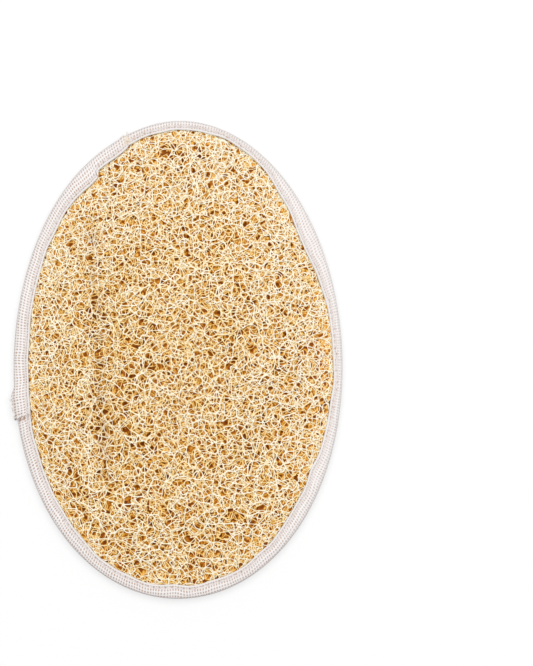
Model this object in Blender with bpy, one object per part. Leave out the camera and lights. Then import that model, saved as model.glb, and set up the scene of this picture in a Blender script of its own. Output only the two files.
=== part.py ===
"""An oval bath pad of natural loofah, lying on its back with the loofah face up.

A domed mat of loofah net lies on a knitted backing cloth. A woven tape is folded round
the edge of both and sewn through with one seam. An elastic hand strap crosses the hollow
back, its ends caught under the tape. X is the width, Y the length, and z is 0 where the
rim of the tape rests. A place is given by its turn angle, anticlockwise from +X, and by
its inset, the distance in from the silhouette.
"""

import math

import bpy
import numpy as np
from mathutils import Vector
from mathutils.geometry import delaunay_2d_cdt

MM = 0.001
SEED = 7

# Silhouette
HALF_WIDTH = 55 * MM
HALF_LENGTH = 80 * MM
EGG = 0.0314  # how much wider the -Y half is, as a share of the width
FULLNESS = 0.0043  # how much fuller than an ellipse the diagonals are
FLAT_TURN = math.radians(113)  # middle of the stretch that the tape's pleat pulls flat
FLAT_HALF = math.radians(17)
FLAT_DEEP = 0.75 * MM
TURN_STEPS = 88

# Layers and the dome they form
GAP = 0.3 * MM
TAPE_THICK = 0.8 * MM
CLOTH_THICK = 1.4 * MM
STACK_INSET = 2.4 * MM  # the cut edge of the mat and the cloth, inside the fold of the tape
SEAM_INSET = 4.2 * MM
DOME_EDGE = 1.5 * MM  # height of the cloth's underside over the seam
DOME_RISE = 7.5 * MM
DOME_POWER = 2.2
MAT_EDGE_THICK = 1.9 * MM
MAT_SWELL = 3.6 * MM
MAT_SWELL_POWER = 3
FLOOR_OF_CLOTH = TAPE_THICK + GAP

# Rings that carry the smooth layers: their inset, and how many turn steps between points
RINGS = ((4.6 * MM, 1), (7.4 * MM, 1), (10.5 * MM, 1), (15 * MM, 2), (24 * MM, 4), (38 * MM, 8))

# Valley in the mat, along the fold of the loofah it was cut from
VALLEY_X = -22.8 * MM
VALLEY_WIDTH = 4.5 * MM
VALLEY_DEPTH = 1.1 * MM
VALLEY_MIDDLE = 6.5 * MM
VALLEY_ENDS = (28 * MM, 54 * MM)  # from its middle to where it starts and stops fading

# Net raised from the mat
CELL_PITCH = 6.1 * MM
CELL_JITTER = 0.33  # share of the pitch
CELL_LEAST = 0.62  # least distance between two cells' middles, as a share of the pitch
PAIR_LEAST = 0.55  # the same beside a long strand
NET_MARGIN = 1.3 * MM  # from the tape's edge to the outermost strands
COVER = 0.25 * MM  # how far past the tape's edge the mat stays smooth
NET_FADE = 5 * MM  # over which the relief grows from the edge inward
NET_EDGE_SHARE = 0.35
STRAND_HIGH = (0.45 * MM, 1.0 * MM)
PIT_DEEP = (1.1 * MM, 1.9 * MM)
PIT_SHARE = 0.7  # the pit's floor as a share of its cell
MERGE = 1.1 * MM  # crossings of strands closer than this are one
LONG_STRANDS = 12
LONG_STRAND_POINTS = (6, 12)
LONG_STRAND_START = (7 * MM, 26 * MM)  # inset of its first point
LONG_STRAND_AIM = 0.9  # most that it aims off the middle, in radians
LONG_STRAND_BEND = 0.16  # most that it turns at each point, in radians
LONG_STRAND_RISE = 0.35 * MM
LONG_STRAND_STEP = (4.2 * MM, 6.8 * MM)
LONG_STRAND_SIDE = 2.1 * MM
LONG_STRAND_NEAR = 2.2 * MM  # crossings this near a long strand are part of it

# Tape
FACE_WIDTH = (3.3 * MM, 3.45 * MM, 5.15 * MM, 4.3 * MM)  # seen at +X, +Y, -X and -Y
FACE_BULGES = (  # turn angle, how much wider the face is there, and how far round
    (math.radians(35), 2.65 * MM, math.radians(16)),
    (math.radians(127), 1.9 * MM, math.radians(9)),
    (math.radians(320), 1.05 * MM, math.radians(18)),
)
BACK_WIDTH = (8.65 * MM, 6.5 * MM, 8.65 * MM, 9.2 * MM)
BACK_SEAM = (4.9 * MM, 4.4 * MM, 4.9 * MM, 5.4 * MM)
HEM = 1.1 * MM  # of tape inside the front seam
SEAM_HALF = 0.6 * MM
SEAM_DEEP = 0.35 * MM
REST_FACE = (1.9 * MM, 3.0 * MM)  # insets between which the tape lies on the floor
RIM_MIDDLE = 3.0 * MM  # height of the widest line of the rim
RIM_ROUND = 0.45 * MM
RIM_LOW = 1.0 * MM
RIM_HIGH = 4.9 * MM

# Lap of the tape's two ends, on the -X side
LAP_END = -19.6 * MM
LAP_STEP = 0.35 * MM
LAP_START = -7 * MM
LAP_FULL = -12 * MM
LAP_OUT = 1.2 * MM  # how far the upper end stands out over the lower one
LAP_RISE = 0.6 * MM
LAP_REACH = 2.6 * MM  # insets beyond this don't stand out

# Seam threads
THREAD_RADIUS = 0.18 * MM
THREAD_SIDES = 4

# Hand strap
STRAP_WIDTH = 16 * MM
STRAP_CENTRE = 5.5 * MM
STRAP_SLOPE = -0.038  # it rises towards -X
STRAP_THICK = (0.8 * MM, 1.1 * MM)  # at its ends and across the span
STRAP_END = 51 * MM
STRAP_SPAN = 45.4 * MM
STRAP_SAG = 0.8 * MM
STRAP_CREASE = 0.35 * MM  # how softly it bends where it comes out from under the tape
STRAP_FREE = 41 * MM  # up to here it has its full thickness
STRAP_STATIONS = 23
STATION_POWER = 0.8  # under 1, so that stations are closer near the ends
STRAP_RIBS = 7
RIB_HIGH = 0.2 * MM
LIFT = 1.2 * MM  # of the layers over the strap's ends
LIFT_HALF = (12 * MM, 18 * MM)
LIFT_INSET = (10.5 * MM, 17 * MM)


# Measures of the oval

def smooth(low, high, value):
    """0 below low, 1 above high and an even curve between."""
    share = np.clip((value - low) / (high - low), 0, 1)
    return share * share * (3 - 2 * share)


def outline(theta):
    """The silhouette's point at a turn angle."""
    grow = 1 + FULLNESS * (1 - np.cos(4 * theta)) / 2
    turn = (theta - FLAT_TURN + math.pi) % (2 * math.pi) - math.pi
    grow = grow - FLAT_DEEP / HALF_LENGTH * np.exp(-((turn / FLAT_HALF) ** 2))
    x = HALF_WIDTH * np.cos(theta) * (1 - EGG * np.sin(theta)) * grow
    y = HALF_LENGTH * np.sin(theta) * grow
    return x, y


def reach(theta):
    """The distance from the middle to the silhouette's tangent at a turn angle."""
    step = 1e-4
    x, y = outline(theta)
    ahead, behind = outline(theta + step), outline(theta - step)
    run_x, run_y = ahead[0] - behind[0], ahead[1] - behind[1]
    return (x * run_y - y * run_x) / np.hypot(run_x, run_y)


def inset_point(theta, inset):
    x, y = outline(theta)
    share = 1 - inset / reach(theta)
    return x * share, y * share


def turn_and_inset(x, y):
    """The turn angle and the inset of a point."""
    theta = np.arctan2(y / HALF_LENGTH, x / HALF_WIDTH)
    for _ in range(6):
        theta = np.arctan2(y / HALF_LENGTH, x / HALF_WIDTH / (1 - EGG * np.sin(theta)))
    rim_x, rim_y = outline(theta)
    share = np.hypot(x, y) / np.hypot(rim_x, rim_y)
    return theta, (1 - share) * reach(theta)


def round_the_rim(values, theta):
    """An even change round the pad between values at +X, +Y, -X and -Y."""
    right, top, left, bottom = values
    mean = (right + top + left + bottom) / 4
    sides = (right + left - top - bottom) / 4
    turn = (right - left) / 2 * np.cos(theta) + (top - bottom) / 2 * np.sin(theta)
    return mean + turn + sides * np.cos(2 * theta)


def face_width(theta):
    """The width of the tape seen on the loofah face."""
    width = round_the_rim(FACE_WIDTH, theta)
    for middle, wider, half in FACE_BULGES:
        turn = (theta - middle + math.pi) % (2 * math.pi) - math.pi
        width = width + wider * np.exp(-((turn / half) ** 2))
    return width


# Heights of the layers

def dome_share(x, y):
    """0 at the middle and 1 over the seam."""
    theta, inset = turn_and_inset(x, y)
    far = reach(theta)
    return np.maximum((far - inset) / (far - SEAM_INSET), 1e-6)


def strap_line(x):
    return STRAP_CENTRE + STRAP_SLOPE * x


def strap_lift(x, y):
    """How far the strap's ends push the layers up."""
    _, inset = turn_and_inset(x, y)
    across = 1 - smooth(*LIFT_HALF, np.abs(y - strap_line(x)))
    along = 1 - smooth(*LIFT_INSET, inset)
    return LIFT * across * along


def hollow(x, y):
    """The underside of the dome, before the strap's ends lift it."""
    share = dome_share(x, y)
    return np.maximum(DOME_EDGE + DOME_RISE * (1 - share**DOME_POWER), FLOOR_OF_CLOTH)


def cloth_bottom(x, y):
    return hollow(x, y) + strap_lift(x, y)


def cloth_top(x, y):
    return cloth_bottom(x, y) + CLOTH_THICK


def mat_bottom(x, y):
    return cloth_top(x, y) + GAP


def valley(x, y):
    across = np.exp(-(((x - VALLEY_X) / VALLEY_WIDTH) ** 2))
    along = 1 - smooth(*VALLEY_ENDS, np.abs(y - VALLEY_MIDDLE))
    return VALLEY_DEPTH * across * along


def mat_top(x, y):
    """The mean height of the loofah face."""
    share = dome_share(x, y)
    swell = MAT_SWELL * np.maximum(1 - share**MAT_SWELL_POWER, 0)
    return hollow(x, y) + CLOTH_THICK + GAP + MAT_EDGE_THICK + swell - valley(x, y)


def tape_back(x, y):
    return hollow(x, y) - GAP - TAPE_THICK


def tape_face(x, y):
    return mat_top(x, y) + GAP + TAPE_THICK


# Meshes

def add_mesh(name, points, faces, colour, roughness):
    """One closed solid, as an object of the pad's collection with a material of its own."""
    mesh = bpy.data.meshes.new(name)
    mesh.from_pydata([tuple(p) for p in points], [], [tuple(f) for f in faces])
    mesh.validate()
    mesh.shade_smooth()
    mesh.set_sharp_from_angle(angle=math.radians(50))
    material = bpy.data.materials.new(name)
    material.use_nodes = True
    surface = material.node_tree.nodes["Principled BSDF"]
    surface.inputs["Base Color"].default_value = (*colour, 1)
    surface.inputs["Roughness"].default_value = roughness
    surface.inputs["Metallic"].default_value = 0
    mesh.materials.append(material)
    obj = bpy.data.objects.new(name, mesh)
    bpy.data.collections["oval_loofah_pad"].objects.link(obj)
    return obj


def triangulate(plan, edges=()):
    """Triangles, facing up, over the plan's points, with the given edges among them."""
    points = [Vector((x / MM, y / MM)) for x, y in plan]
    found = delaunay_2d_cdt(points, list(edges), [], 0, 1e-5)
    kept, triangles, sources = found[0], found[2], found[3]
    if any(len(source) != 1 for source in sources):
        raise ValueError(f"{len(plan)} points of the plan became {len(kept)}")
    return [[sources[i][0] for i in triangle] for triangle in triangles]


def stack_plan(turns):
    """Plan points of the smooth layers: the cut edge first, then ring by ring to the middle."""
    plan = [inset_point(theta, STACK_INSET) for theta in turns]
    for inset, every in RINGS:
        plan += [inset_point(theta, inset) for theta in turns[::every]]
    plan.append((0.0, 0.0))
    return plan


def layer(turns, top_plan, top_heights, top_faces, bottom_plan, bottom_heights, bottom_faces):
    """A closed layer from a top and a bottom sheet whose first points are its edge."""
    points = [(*p, z) for p, z in zip(top_plan, top_heights)]
    start = len(points)
    points += [(*p, z) for p, z in zip(bottom_plan, bottom_heights)]
    faces = [tuple(f) for f in top_faces]
    faces += [tuple(start + i for i in reversed(f)) for f in bottom_faces]
    count = len(turns)
    for i in range(count):
        j = (i + 1) % count
        faces += [(i, start + i, start + j), (i, start + j, j)]
    return points, faces


def heights(function, plan):
    x, y = np.array(plan).T
    return function(x, y)


# The net of the loofah

def long_strands(rng):
    """Points on both sides of long curved strands, so that ridges run along them."""
    seeds, lines = [], []
    for i in range(LONG_STRANDS):
        start = 2 * math.pi * (i + rng.uniform(-0.3, 0.3)) / LONG_STRANDS
        heading = start + math.pi + rng.uniform(-LONG_STRAND_AIM, LONG_STRAND_AIM)
        x, y = inset_point(start, rng.uniform(*LONG_STRAND_START))
        bend = rng.uniform(-LONG_STRAND_BEND, LONG_STRAND_BEND)
        line = []
        for _ in range(rng.integers(*LONG_STRAND_POINTS)):
            line.append((x, y))
            heading += bend
            step = rng.uniform(*LONG_STRAND_STEP)
            x += step * math.cos(heading)
            y += step * math.sin(heading)
            side = (-math.sin(heading) * LONG_STRAND_SIDE, math.cos(heading) * LONG_STRAND_SIDE)
            seeds += [(x + side[0], y + side[1]), (x - side[0], y - side[1])]
        lines += line
    return seeds, lines


def spread_seeds(rng):
    """The middles of the net's cells: pairs along the long strands, then a jittered lattice."""
    pairs, lines = long_strands(rng)
    seeds = []
    for point in pairs:
        if all(math.dist(point, other) > PAIR_LEAST * CELL_PITCH for other in seeds):
            seeds.append(point)
    row_step = CELL_PITCH * math.sqrt(3) / 2
    rows = int(HALF_LENGTH / row_step) + 2
    columns = int(HALF_WIDTH / CELL_PITCH) + 3
    for row in range(-rows, rows + 1):
        for column in range(-columns, columns + 1):
            shift = rng.uniform(-CELL_JITTER, CELL_JITTER, 2) * CELL_PITCH
            x = (column + 0.5 * (row % 2)) * CELL_PITCH + shift[0]
            y = row * row_step + shift[1]
            if all(math.dist((x, y), other) > CELL_LEAST * CELL_PITCH for other in seeds):
                seeds.append((x, y))
    return seeds, lines


def into_net(point):
    """A point moved in, where it lies nearer to the tape than the net does."""
    theta, inset = turn_and_inset(*point)
    least = face_width(theta) + NET_MARGIN
    return point if inset >= least else inset_point(theta, least)


def spans(loop):
    """Whether the loop's middle sees every side of it, so that a smaller copy fits inside."""
    x, y = (np.array(loop) - np.mean(loop, axis=0)).T
    return bool(np.all(x * np.roll(y, -1) > y * np.roll(x, -1)))


def net_cells(seeds):
    """The crossings of the net, and for each cell the crossings round it, in turn."""
    corners = triangulate(seeds)
    crossings = []
    for triangle in corners:
        (ax, ay), (bx, by), (cx, cy) = (seeds[i] for i in triangle)
        bx, by, cx, cy = bx - ax, by - ay, cx - ax, cy - ay
        twice = 2 * (bx * cy - by * cx)
        b2, c2 = bx * bx + by * by, cx * cx + cy * cy
        crossings.append((ax + (cy * b2 - by * c2) / twice, ay + (bx * c2 - cx * b2) / twice))
    moved = [into_net(p) for p in crossings]
    merged, index = [], []
    for point in moved:
        near = [i for i, other in enumerate(merged) if math.dist(point, other) < MERGE]
        if not near:
            merged.append(point)
        index.append(near[0] if near else len(merged) - 1)
    rounds = {}
    for number, triangle in enumerate(corners):
        for seed in triangle:
            rounds.setdefault(seed, []).append(number)
    cells = []
    for seed, around in sorted(rounds.items()):
        theta, inset = turn_and_inset(*seeds[seed])
        if inset < face_width(theta) + NET_MARGIN:
            continue
        sx, sy = seeds[seed]
        around.sort(key=lambda n: math.atan2(crossings[n][1] - sy, crossings[n][0] - sx))
        loop = []
        for number in around:
            if index[number] not in loop:
                loop.append(index[number])
        if len(loop) > 2 and spans([merged[i] for i in loop]):
            cells.append(loop)
    return merged, cells


def net_relief(turns, rng):
    """Plan, heights and triangles of the loofah face: strands stand up and cells sink in."""
    seeds, lines = spread_seeds(rng)
    crossings, cells = net_cells(seeds)
    used = sorted({i for loop in cells for i in loop})
    place = {}
    plan = [inset_point(theta, STACK_INSET) for theta in turns]
    plan += [inset_point(theta, face_width(theta) + COVER) for theta in turns]
    relief = [0.0] * len(plan)

    def share_at(point):
        theta, inset = turn_and_inset(*point)
        grown = smooth(0, NET_FADE, inset - face_width(theta) - NET_MARGIN)
        return NET_EDGE_SHARE + (1 - NET_EDGE_SHARE) * grown

    for i in used:
        point = crossings[i]
        place[i] = len(plan)
        plan.append(point)
        high = rng.uniform(*STRAND_HIGH)
        if min(math.dist(point, other) for other in lines) < LONG_STRAND_NEAR:
            high = STRAND_HIGH[1] + LONG_STRAND_RISE
        relief.append(high * share_at(point))
    count = len(turns)
    edges = {(i, i + 1) for i in range(count, 2 * count - 1)} | {(count, 2 * count - 1)}
    for loop in cells:
        middle = np.mean([crossings[i] for i in loop], axis=0)
        deep = rng.uniform(*PIT_DEEP)
        floor = []
        for i in loop:
            floor.append(len(plan))
            point = tuple(middle + PIT_SHARE * (np.array(crossings[i]) - middle))
            plan.append(point)
            relief.append(-deep * share_at(point))
        outer = [place[i] for i in loop]
        for ring in (outer, floor):
            for a, b in zip(ring, ring[1:] + ring[:1]):
                edges.add((min(a, b), max(a, b)))
    faces = triangulate(plan, sorted(edges))
    return plan, heights(mat_top, plan) + np.array(relief), faces


# The pieces

def loofah_mat(turns, smooth_plan, smooth_faces):
    rng = np.random.default_rng(SEED)
    plan, top, faces = net_relief(turns, rng)
    points, faces = layer(
        turns, plan, top, faces, smooth_plan, heights(mat_bottom, smooth_plan), smooth_faces
    )
    add_mesh("loofah_mat", points, faces, (0.78, 0.56, 0.28), 0.8)


def backing_cloth(turns, smooth_plan, smooth_faces):
    top, bottom = heights(cloth_top, smooth_plan), heights(cloth_bottom, smooth_plan)
    points, faces = layer(
        turns, smooth_plan, top, smooth_faces, smooth_plan, bottom, smooth_faces
    )
    add_mesh("backing_cloth", points, faces, (0.86, 0.85, 0.8), 0.9)


def lap_share(theta):
    """How much of the tape's lower end lies under the upper one: 1 along most of the lap."""
    x, y = outline(theta)
    on_lap = x < 0 and y > LAP_END
    return float(1 - smooth(LAP_FULL, LAP_START, y)) if on_lap else 0.0


def tape_section(theta):
    """The tape's section as insets and heights, with its outside first."""
    lap = lap_share(theta)
    rise = LAP_RISE * lap
    back, seam = round_the_rim(BACK_WIDTH, theta), round_the_rim(BACK_SEAM, theta)
    face = face_width(theta)

    def out(inset):
        return inset - LAP_OUT * lap * max(0.0, 1 - inset / LAP_REACH)

    def low(inset, deep=0.0):
        return inset, float(tape_back(*inset_point(theta, inset))) + deep

    def high(inset, lift=0.0):
        return inset, float(tape_face(*inset_point(theta, inset))) + lift

    near, far = REST_FACE
    section = [
        low(back),
        low(seam + SEAM_HALF),
        low(seam, SEAM_DEEP),
        low(seam - SEAM_HALF),
        (far, 0.0),
        (near, 0.0),
        (out(RIM_ROUND), RIM_LOW),
        (out(0.0), RIM_MIDDLE),
        (out(RIM_ROUND), RIM_HIGH + rise),
        high(near, rise),
        high(face - HEM, rise - SEAM_DEEP),
        high(face, rise),
        high(face, -TAPE_THICK),
        high(near + 0.1 * MM, -TAPE_THICK),
        (TAPE_THICK, RIM_MIDDLE),
        low(near + 0.1 * MM, TAPE_THICK),
        low(seam, TAPE_THICK),
        low(back, TAPE_THICK),
    ]
    return [(*inset_point(theta, inset), z) for inset, z in section]


def swept_ring(sections):
    """A closed ring through sections with the same number of points."""
    points = [p for section in sections for p in section]
    size, count = len(sections[0]), len(sections)
    faces = []
    for i in range(count):
        for k in range(size):
            a, b = i * size + k, i * size + (k + 1) % size
            c, d = (i + 1) % count * size + (k + 1) % size, (i + 1) % count * size + k
            faces += [(a, c, b), (a, d, c)]
    return points, faces


def edge_binding(turns):
    points, faces = swept_ring([tape_section(theta) for theta in turns])
    add_mesh("edge_binding", points, faces, (0.85, 0.82, 0.82), 0.75)


def seam_thread(name, turns, groove, clear):
    """A thread laid in the groove of the seam; groove is the section's point there."""
    sections = []
    for theta in turns:
        x, y, z = tape_section(theta)[groove]
        z += clear
        out = np.array((x, y)) / math.hypot(x, y)
        section = []
        for k in range(THREAD_SIDES):
            angle = 2 * math.pi * (k + 0.5) / THREAD_SIDES
            side = THREAD_RADIUS * math.sqrt(2) * math.cos(angle)
            lift = THREAD_RADIUS * math.sqrt(2) * math.sin(angle)
            section.append((x + out[0] * side, y + out[1] * side, z + lift))
        sections.append(section)
    points, faces = swept_ring(sections)
    add_mesh(name, points, faces, (0.8, 0.76, 0.74), 0.7)


def strap_bottom(x, y):
    """The strap lies under the cloth at its ends and hangs a little free between them."""
    free = float(hollow(STRAP_SPAN, strap_line(STRAP_SPAN)))
    share = np.clip(np.abs(x) / STRAP_SPAN, 0, 1)
    span = free - STRAP_SAG * (1 - share**2)
    held = hollow(x, y)
    return 0.5 * (held + span - np.sqrt((held - span) ** 2 + STRAP_CREASE**2))


def hand_strap():
    """A flat elastic with ribs along its outer side, as a loft of sections across it."""
    columns = 2 * STRAP_RIBS + 1
    points = []
    stations = np.linspace(-1, 1, STRAP_STATIONS)
    for station in stations:
        x = STRAP_END * math.copysign(abs(station) ** STATION_POWER, station)
        free_share = 1 - float(smooth(STRAP_FREE, STRAP_END, abs(x)))
        thick = STRAP_THICK[0] + (STRAP_THICK[1] - STRAP_THICK[0]) * free_share
        for k in range(columns):
            y = strap_line(x) + STRAP_WIDTH * (k / (columns - 1) - 0.5)
            groove = RIB_HIGH * free_share * (k % 2 == 0)
            points.append((x, y, float(strap_bottom(x, y)) + groove))
        for k in (1, 0.5, 0):
            y = strap_line(x) + STRAP_WIDTH * (k - 0.5)
            points.append((x, y, float(strap_bottom(x, y)) + thick))
    size = columns + 3
    faces = []
    for i in range(STRAP_STATIONS - 1):
        for k in range(size):
            a, b = i * size + k, i * size + (k + 1) % size
            faces += [(a, b, a + size), (b, b + size, a + size)]
    faces.append(tuple(reversed(range(size))))
    faces.append(tuple(range((STRAP_STATIONS - 1) * size, STRAP_STATIONS * size)))
    add_mesh("hand_strap", points, faces, (0.85, 0.86, 0.9), 0.6)


def turn_angles():
    """Even turn angles, with two close ones at the step where the tape's upper end stops."""
    turns = [2 * math.pi * i / TURN_STEPS for i in range(TURN_STEPS)]
    end = math.pi - math.asin(LAP_END / HALF_LENGTH)
    half = 0.5 * LAP_STEP / HALF_LENGTH
    turns = [t for t in turns if abs(t - end) > 0.4 * math.pi / TURN_STEPS]
    return sorted(turns + [end - half, end + half])


def main():
    for obj in list(bpy.data.objects):
        bpy.data.objects.remove(obj)
    pad = bpy.data.collections.new("oval_loofah_pad")
    bpy.context.scene.collection.children.link(pad)
    turns = turn_angles()
    plan = stack_plan(turns)
    faces = triangulate(plan)
    loofah_mat(turns, plan, faces)
    backing_cloth(turns, plan, faces)
    edge_binding(turns)
    seam_thread("needle_thread", turns, 10, GAP + THREAD_RADIUS)
    seam_thread("bobbin_thread", turns, 2, -GAP - THREAD_RADIUS)
    hand_strap()


main()
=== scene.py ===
"""Looks of the oval loofah bath pad: its net of fibres, knitted cloth, tape, seam and strap.

The solids of the frame are replaced by fine pieces of the same form. Lengths are in
metres. A place on the pad is given by its turn angle, anticlockwise from +X, and by its
inset, the distance in from the silhouette.
"""

import math

import bpy
import numpy as np
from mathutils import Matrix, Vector
from mathutils.geometry import delaunay_2d_cdt


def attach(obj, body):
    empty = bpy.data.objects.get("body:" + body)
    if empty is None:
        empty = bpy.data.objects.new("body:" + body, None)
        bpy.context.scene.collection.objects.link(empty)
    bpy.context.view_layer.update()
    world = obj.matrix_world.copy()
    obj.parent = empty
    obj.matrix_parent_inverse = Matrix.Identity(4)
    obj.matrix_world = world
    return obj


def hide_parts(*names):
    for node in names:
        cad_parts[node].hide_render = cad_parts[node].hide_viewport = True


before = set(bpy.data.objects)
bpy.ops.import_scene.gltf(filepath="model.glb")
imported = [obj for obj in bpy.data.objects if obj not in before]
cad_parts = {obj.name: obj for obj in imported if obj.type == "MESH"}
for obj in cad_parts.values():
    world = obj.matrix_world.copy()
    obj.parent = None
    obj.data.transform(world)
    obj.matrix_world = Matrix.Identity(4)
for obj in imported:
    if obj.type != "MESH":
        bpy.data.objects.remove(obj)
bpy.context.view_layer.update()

MM = 0.001
ROUND = 2 * math.pi

# Silhouette
HALF_WIDTH = 55 * MM
HALF_LENGTH = 80 * MM
EGG = 0.0314
FULLNESS = 0.0043
FLAT_TURN = math.radians(113)
FLAT_HALF = math.radians(17)
FLAT_DEEP = 0.75 * MM

# Layers and the dome they form
GAP = 0.3 * MM
TAPE_THICK = 0.8 * MM
CLOTH_THICK = 1.4 * MM
STACK_INSET = 2.4 * MM
SEAM_INSET = 4.2 * MM
DOME_EDGE = 1.5 * MM
DOME_RISE = 7.5 * MM
DOME_POWER = 2.2
MAT_EDGE_THICK = 1.9 * MM
MAT_SWELL = 3.6 * MM
MAT_SWELL_POWER = 3
FLOOR_OF_CLOTH = TAPE_THICK + GAP
VALLEY_X = -22.8 * MM
VALLEY_WIDTH = 4.5 * MM
VALLEY_DEPTH = 1.1 * MM
VALLEY_MIDDLE = 6.5 * MM
VALLEY_ENDS = (28 * MM, 54 * MM)

# Tape
FACE_WIDTH = (3.35 * MM, 3.3 * MM, 4.95 * MM, 4.15 * MM)
BACK_WIDTH = (8.65 * MM, 6.5 * MM, 8.65 * MM, 9.2 * MM)
BACK_SEAM = (4.9 * MM, 4.4 * MM, 4.9 * MM, 5.4 * MM)
HEM = 1.1 * MM
SEAM_HALF = 0.6 * MM
SEAM_DEEP = 0.35 * MM
REST_FACE = (1.9 * MM, 3.0 * MM)
RIM_MIDDLE = 3.0 * MM
RIM_ROUND = 0.45 * MM
RIM_LOW = 1.0 * MM
RIM_HIGH = 4.9 * MM
LAP_END = -19.6 * MM
LAP_START = -7 * MM
LAP_FULL = -12 * MM
LAP_OUT = 1.2 * MM
LAP_RISE = 0.6 * MM
LAP_REACH = 2.6 * MM

# Hand strap
STRAP_WIDTH = 16 * MM
STRAP_CENTRE = 5.5 * MM
STRAP_SLOPE = -0.038
STRAP_THICK = (0.8 * MM, 1.1 * MM)
STRAP_END = 51 * MM
STRAP_SPAN = 45.4 * MM
STRAP_SAG = 0.8 * MM
STRAP_CREASE = 0.35 * MM
STRAP_FREE = 41 * MM
STRAP_RIBS = 7
RIB_HIGH = 0.2 * MM
LIFT = 1.2 * MM
LIFT_HALF = (12 * MM, 18 * MM)
LIFT_INSET = (10.5 * MM, 17 * MM)


# Measures of the oval

def smooth(low, high, value):
    """0 before low, 1 past high and a smooth curve between them."""
    share = np.clip((value - low) / (high - low), 0, 1)
    return share * share * (3 - 2 * share)


def bell(value, half):
    """1 at 0, fading to both sides over about half."""
    return np.exp(-((value / half) ** 2))


def wrapped(angle):
    return (angle + math.pi) % ROUND - math.pi


def outline(theta):
    grow = 1 + FULLNESS * (1 - np.cos(4 * theta)) / 2
    grow = grow - FLAT_DEEP / HALF_LENGTH * bell(wrapped(theta - FLAT_TURN), FLAT_HALF)
    x = HALF_WIDTH * np.cos(theta) * (1 - EGG * np.sin(theta)) * grow
    y = HALF_LENGTH * np.sin(theta) * grow
    return x, y


def reach(theta):
    """The distance from the middle to the silhouette's tangent at a turn angle."""
    step = 1e-4
    x, y = outline(theta)
    run_x, run_y = np.subtract(outline(theta + step), outline(theta - step))
    return (x * run_y - y * run_x) / np.hypot(run_x, run_y)


def inset_point(theta, inset):
    x, y = outline(theta)
    share = 1 - inset / reach(theta)
    return x * share, y * share


def turn_and_inset(x, y):
    theta = np.arctan2(y / HALF_LENGTH, x / HALF_WIDTH)
    for _ in range(6):
        theta = np.arctan2(y / HALF_LENGTH, x / HALF_WIDTH / (1 - EGG * np.sin(theta)))
    rim_x, rim_y = outline(theta)
    share = np.hypot(x, y) / np.hypot(rim_x, rim_y)
    return theta, (1 - share) * reach(theta)


def inset_of(x, y):
    return turn_and_inset(x, y)[1]


def oval(count, inset):
    """Points round the pad at an inset."""
    return np.stack(inset_point(ROUND * np.arange(count) / count, inset), axis=1)


def round_the_rim(values, theta):
    """An even change round the pad between values at +X, +Y, -X and -Y."""
    right, top, left, bottom = values
    mean = (right + top + left + bottom) / 4
    sides = (right + left - top - bottom) / 4
    turn = (right - left) / 2 * np.cos(theta) + (top - bottom) / 2 * np.sin(theta)
    return mean + turn + sides * np.cos(2 * theta)


FINE_TURNS = np.linspace(0, ROUND, 4001)
GONE_ROUND = np.concatenate([[0], np.cumsum(np.hypot(*np.diff(outline(FINE_TURNS), axis=1)))])
AROUND = GONE_ROUND[-1]


def even_turns(count):
    """Turn angles at even steps along the silhouette."""
    return np.interp(np.arange(count) * AROUND / count, GONE_ROUND, FINE_TURNS)


# Heights of the layers

def dome_share(x, y):
    theta, inset = turn_and_inset(x, y)
    far = reach(theta)
    return np.maximum((far - inset) / (far - SEAM_INSET), 1e-6)


def strap_line(x):
    return STRAP_CENTRE + STRAP_SLOPE * x


def strap_lift(x, y):
    """How far the strap's caught ends lift the cloth."""
    across = 1 - smooth(*LIFT_HALF, np.abs(y - strap_line(x)))
    along = 1 - smooth(*LIFT_INSET, inset_of(x, y))
    return LIFT * across * along


def hollow(x, y):
    share = dome_share(x, y)
    return np.maximum(DOME_EDGE + DOME_RISE * (1 - share**DOME_POWER), FLOOR_OF_CLOTH)


def cloth_bottom(x, y):
    return hollow(x, y) + strap_lift(x, y)


def mat_bottom(x, y):
    return cloth_bottom(x, y) + CLOTH_THICK + GAP


def valley(x, y):
    across = bell(x - VALLEY_X, VALLEY_WIDTH)
    along = 1 - smooth(*VALLEY_ENDS, np.abs(y - VALLEY_MIDDLE))
    return VALLEY_DEPTH * across * along


def mat_top(x, y):
    share = dome_share(x, y)
    swell = MAT_SWELL * np.maximum(1 - share**MAT_SWELL_POWER, 0)
    return hollow(x, y) + CLOTH_THICK + GAP + MAT_EDGE_THICK + swell - valley(x, y)


# Meshes from arrays

def new_object(name, data):
    obj = bpy.data.objects.new(name, data)
    bpy.context.scene.collection.objects.link(obj)
    return obj


def new_piece(name, points, face_sets, material, node, attributes=(), soft=True):
    """A mesh that stands for a node of the frame. Each set has faces of equal corners."""
    mesh = bpy.data.meshes.new(name)
    mesh.vertices.add(len(points))
    mesh.vertices.foreach_set("co", np.ascontiguousarray(points, np.float32).ravel())
    corners = np.concatenate([f.ravel() for f in face_sets])
    sizes = np.concatenate([np.full(len(f), f.shape[1]) for f in face_sets])
    mesh.loops.add(len(corners))
    mesh.loops.foreach_set("vertex_index", corners.astype(np.int32))
    mesh.polygons.add(len(sizes))
    starts = np.cumsum(sizes) - sizes
    mesh.polygons.foreach_set("loop_start", starts.astype(np.int32))
    mesh.update(calc_edges=True)
    mesh.validate()
    if soft:
        mesh.shade_smooth()
    else:
        mesh.shade_flat()
    for label, values in attributes:
        kind, field = ("FLOAT", "value") if values.ndim == 1 else ("FLOAT_VECTOR", "vector")
        layer = mesh.attributes.new(label, kind, "POINT")
        layer.data.foreach_set(field, values.astype(np.float32).ravel())
    mesh.materials.append(material)
    obj = new_object(name, mesh)
    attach(obj, "root")
    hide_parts(node)
    return obj


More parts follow.
